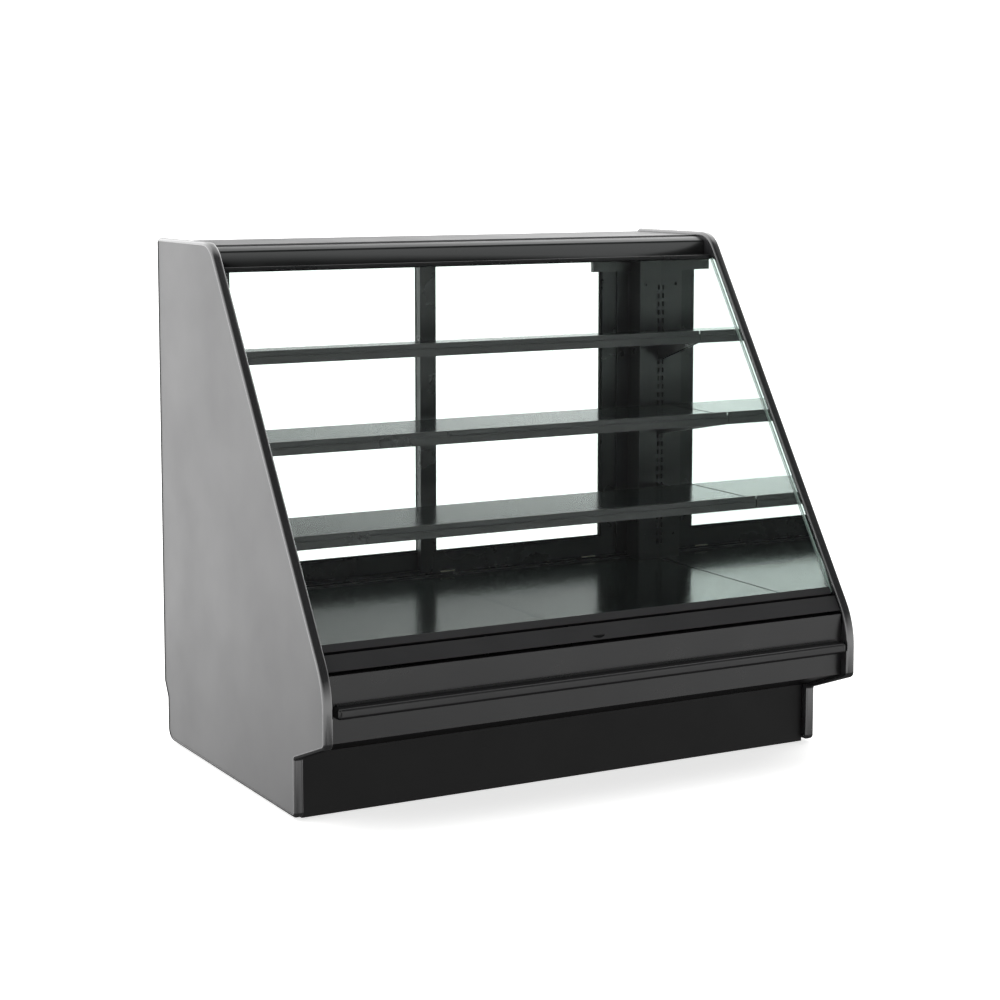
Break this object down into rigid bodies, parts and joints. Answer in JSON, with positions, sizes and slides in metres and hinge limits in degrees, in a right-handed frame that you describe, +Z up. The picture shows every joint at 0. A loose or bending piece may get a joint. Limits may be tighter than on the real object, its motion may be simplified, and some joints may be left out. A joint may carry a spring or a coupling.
{
  "type": "bakery display case",
  "caption": "Black bakery display case with slanted hinged front glass, mirrored ends, shelves and sliding rear doors.",
  "frame": {"origin": "on the floor, under the middle of the case's bounding box", "axes": "+X to the right along the case as the customer faces it, -Y towards the customer, +Z up"},
  "size_m": [1.574, 1.086, 1.4],
  "materials": {
    "panel_laminate": "satin",
    "edge_trim": "satin",
    "mirror": "polished",
    "black_steel": "satin",
    "base_steel": "matte",
    "bumper_vinyl": "satin",
    "dark_rail": "satin",
    "pane_glass": "polished",
    "light_body": "satin",
    "diffuser": "satin",
    "black_plastic": "matte",
    "nylon": "matte",
    "plated_steel": "satin"
  },
  "bodies": {
    "case": {"base_beams": "base_steel", "deck_beams": "black_steel", "cabinet_floor": "black_steel", "kick_plate": "black_steel", "front_fascia": "black_steel", "lower_front_panel": "black_steel", "deck_front_lip": "black_steel", "rear_panel": "black_steel", "rear_sill": "black_steel", "end_panel_left": "panel_laminate", "end_panel_right": "panel_laminate", "end_trim_left": "edge_trim", "end_trim_right": "edge_trim", "end_mirror_left": "mirror", "end_mirror_right": "mirror", "corner_post_left": "black_steel", "corner_post_right": "black_steel", "door_jamb_left": "black_steel", "door_jamb_right": "black_steel", "header_cover": "black_steel", "post_screws": "black_steel", "bumper_channel": "dark_rail", "bumper_rail": "bumper_vinyl", "bumper_end_caps": "bumper_vinyl", "glass_hinge_leaf": "black_steel", "shelf_brackets_top": "black_steel", "shelf_brackets_middle": "black_steel", "shelf_brackets_bottom": "black_steel", "door_bottom_track": "dark_rail", "door_top_track": "dark_rail", "canopy_nose": "dark_rail", "canopy_roof": "black_steel", "light_housing": "light_body", "light_lens": "diffuser", "light_clips": "light_body", "service_plate": "black_steel", "power_inlet": "black_plastic"},
    "front_window": {"front_glass": "pane_glass", "glass_top_rail": "dark_rail", "glass_bottom_rail": "dark_rail", "glass_hinge_pins": "plated_steel"},
    "rear_door_left": {"door_left_frame": "dark_rail", "door_left_glass": "pane_glass", "door_left_pull": "black_plastic", "door_left_glides": "nylon"},
    "rear_door_right": {"door_right_frame": "dark_rail", "door_right_glass": "pane_glass", "door_right_pull": "black_plastic", "door_right_glides": "nylon"},
    "deck_left": {"deck_pan_left": "black_steel"},
    "deck_right": {"deck_pan_right": "black_steel"},
    "top_shelf": {"shelf_top": "black_steel", "price_rail_top": "black_steel"},
    "middle_shelf": {"shelf_middle": "black_steel", "price_rail_middle": "black_steel"},
    "bottom_shelf": {"shelf_bottom": "black_steel", "price_rail_bottom": "black_steel"},
    "light_switch": {"switch_rocker": "black_plastic"}
  },
  "joints": [
    {"name": "front_window_hinge", "type": "hinge", "parent": "case", "child": "front_window", "pos_m": [0, 0.1392, 1.3315], "axis": [-1, 0, 0], "range_deg": [0, 55]},
    {"name": "rear_door_left_slide", "type": "slide", "parent": "case", "child": "rear_door_left", "axis": [1, 0, 0], "range_m": [0, 0.605]},
    {"name": "rear_door_right_slide", "type": "slide", "parent": "case", "child": "rear_door_right", "axis": [-1, 0, 0], "range_m": [0, 0.627]},
    {"name": "deck_left_lift", "type": "slide", "parent": "case", "child": "deck_left", "axis": [0, 0, 1], "range_m": [0, 0.045]},
    {"name": "deck_right_lift", "type": "slide", "parent": "case", "child": "deck_right", "axis": [0, 0, 1], "range_m": [0, 0.045]},
    {"name": "top_shelf_lift", "type": "slide", "parent": "case", "child": "top_shelf", "axis": [0, 0, 1], "range_m": [0, 0.06]},
    {"name": "middle_shelf_lift", "type": "slide", "parent": "case", "child": "middle_shelf", "axis": [0, 0, 1], "range_m": [0, 0.06]},
    {"name": "bottom_shelf_lift", "type": "slide", "parent": "case", "child": "bottom_shelf", "axis": [0, 0, 1], "range_m": [0, 0.06]},
    {"name": "light_switch_rock", "type": "hinge", "parent": "case", "child": "light_switch", "pos_m": [0.665, 0.509, 0.29], "axis": [1, 0, 0], "range_deg": [-8, 8]}
  ]
}
